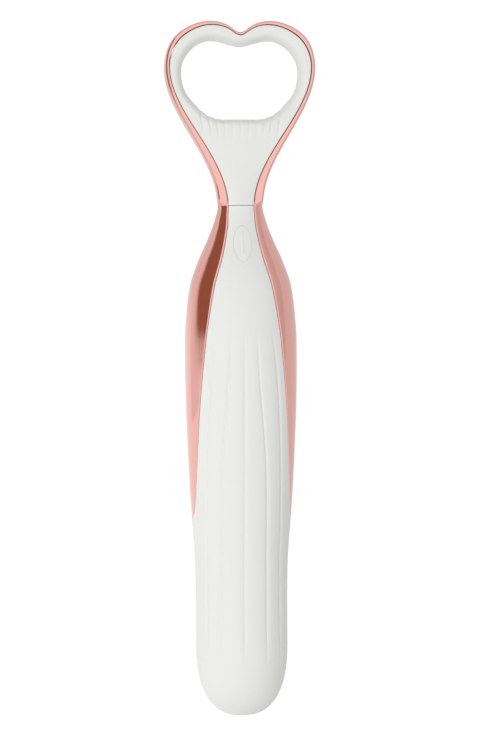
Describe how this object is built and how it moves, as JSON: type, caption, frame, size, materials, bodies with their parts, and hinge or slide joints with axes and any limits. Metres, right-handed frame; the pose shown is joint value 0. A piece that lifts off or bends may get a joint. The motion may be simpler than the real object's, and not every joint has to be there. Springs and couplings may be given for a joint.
{
  "type": "skin massaging wand",
  "caption": "Sealed silicone wand for the skin with a domed grooved body, a heart-shaped finger loop, a plated trim frame, a press button and an eccentric vibration motor.",
  "frame": {"origin": "on the table under the middle of the wand's length, lying on its back", "axes": "+Y runs along the wand from the domed tip to the finger loop, +Z comes out of its front, the side with the button, +X to its right seen from the front"},
  "size_m": [0.049, 0.225, 0.0326],
  "materials": {
    "silicone": "matte, fine silk texture",
    "button_silicone": "matte",
    "rose_gold": "polished rose-gold plating on ABS",
    "core_plastic": "moulded ABS, fine spark texture",
    "spine_plastic": "glass-filled nylon",
    "screw_steel": "zinc-plated",
    "seal_rubber": "matte",
    "boot_rubber": "matte",
    "plunger_plastic": "polished acetal",
    "board_laminate": "solder mask over glass laminate",
    "chip_plastic": "moulded epoxy",
    "lamp_lens": "clear epoxy",
    "switch_plastic": "moulded",
    "cell_wrap": "can in a shrink wrap",
    "tab_nickel": "nickel strip",
    "foam": "closed-cell foam",
    "lead_sleeve_red": "silicone sleeve",
    "lead_sleeve_blue": "silicone sleeve",
    "lead_sleeve_black": "silicone sleeve",
    "motor_steel": "drawn and nickel-plated",
    "magnet": "sintered ferrite",
    "end_cap_plastic": "moulded nylon",
    "bush_bronze": "sintered bronze",
    "terminal_brass": "tinned brass",
    "shaft_steel": "ground steel",
    "armature": "laminated iron with copper windings",
    "weight_tungsten": "sintered heavy alloy",
    "carrier_plastic": "moulded",
    "contact_gold": "gold-plated pins",
    "magnet_nickel": "nickel-plated"
  },
  "bodies": {
    "handle": {"body_skin": "silicone", "loop_skin": "silicone", "loop_band": "rose_gold", "right_flank": "rose_gold", "left_flank": "rose_gold", "loop_spine": "spine_plastic", "core_front_shell": "core_plastic", "core_rear_shell": "core_plastic", "shell_screws": "screw_steel", "spine_screws": "screw_steel", "board_screws": "screw_steel", "neck_seal": "seal_rubber", "switch_body": "switch_plastic", "circuit_board": "board_laminate", "controller_chip": "chip_plastic", "status_lamp": "lamp_lens", "battery_cell": "cell_wrap", "battery_tabs": "tab_nickel", "battery_foam": "foam", "battery_leads": "lead_sleeve_red", "motor_can": "motor_steel", "motor_magnets": "magnet", "motor_end_cap": "end_cap_plastic", "motor_bush": "bush_bronze", "motor_terminals": "terminal_brass", "motor_boot": "boot_rubber", "motor_leads": "lead_sleeve_blue", "contact_carrier": "carrier_plastic", "charge_contacts": "contact_gold", "charge_magnets": "magnet_nickel", "charge_leads": "lead_sleeve_black"},
    "button": {"power_button": "button_silicone", "button_plunger": "plunger_plastic", "switch_stem": "switch_plastic"},
    "rotor": {"motor_shaft": "shaft_steel", "rotor_armature": "armature", "eccentric_weight": "weight_tungsten"}
  },
  "joints": [
    {"name": "button_press", "type": "slide", "parent": "handle", "child": "button", "axis": [0, 0, -1], "range_m": [0, 0.0005], "stiffness_N_per_m": 2500},
    {"name": "motor_spin", "type": "hinge", "parent": "handle", "child": "rotor", "pos_m": [0, -0.0885, 0.0134], "axis": [0, 1, 0], "continuous": true}
  ]
}
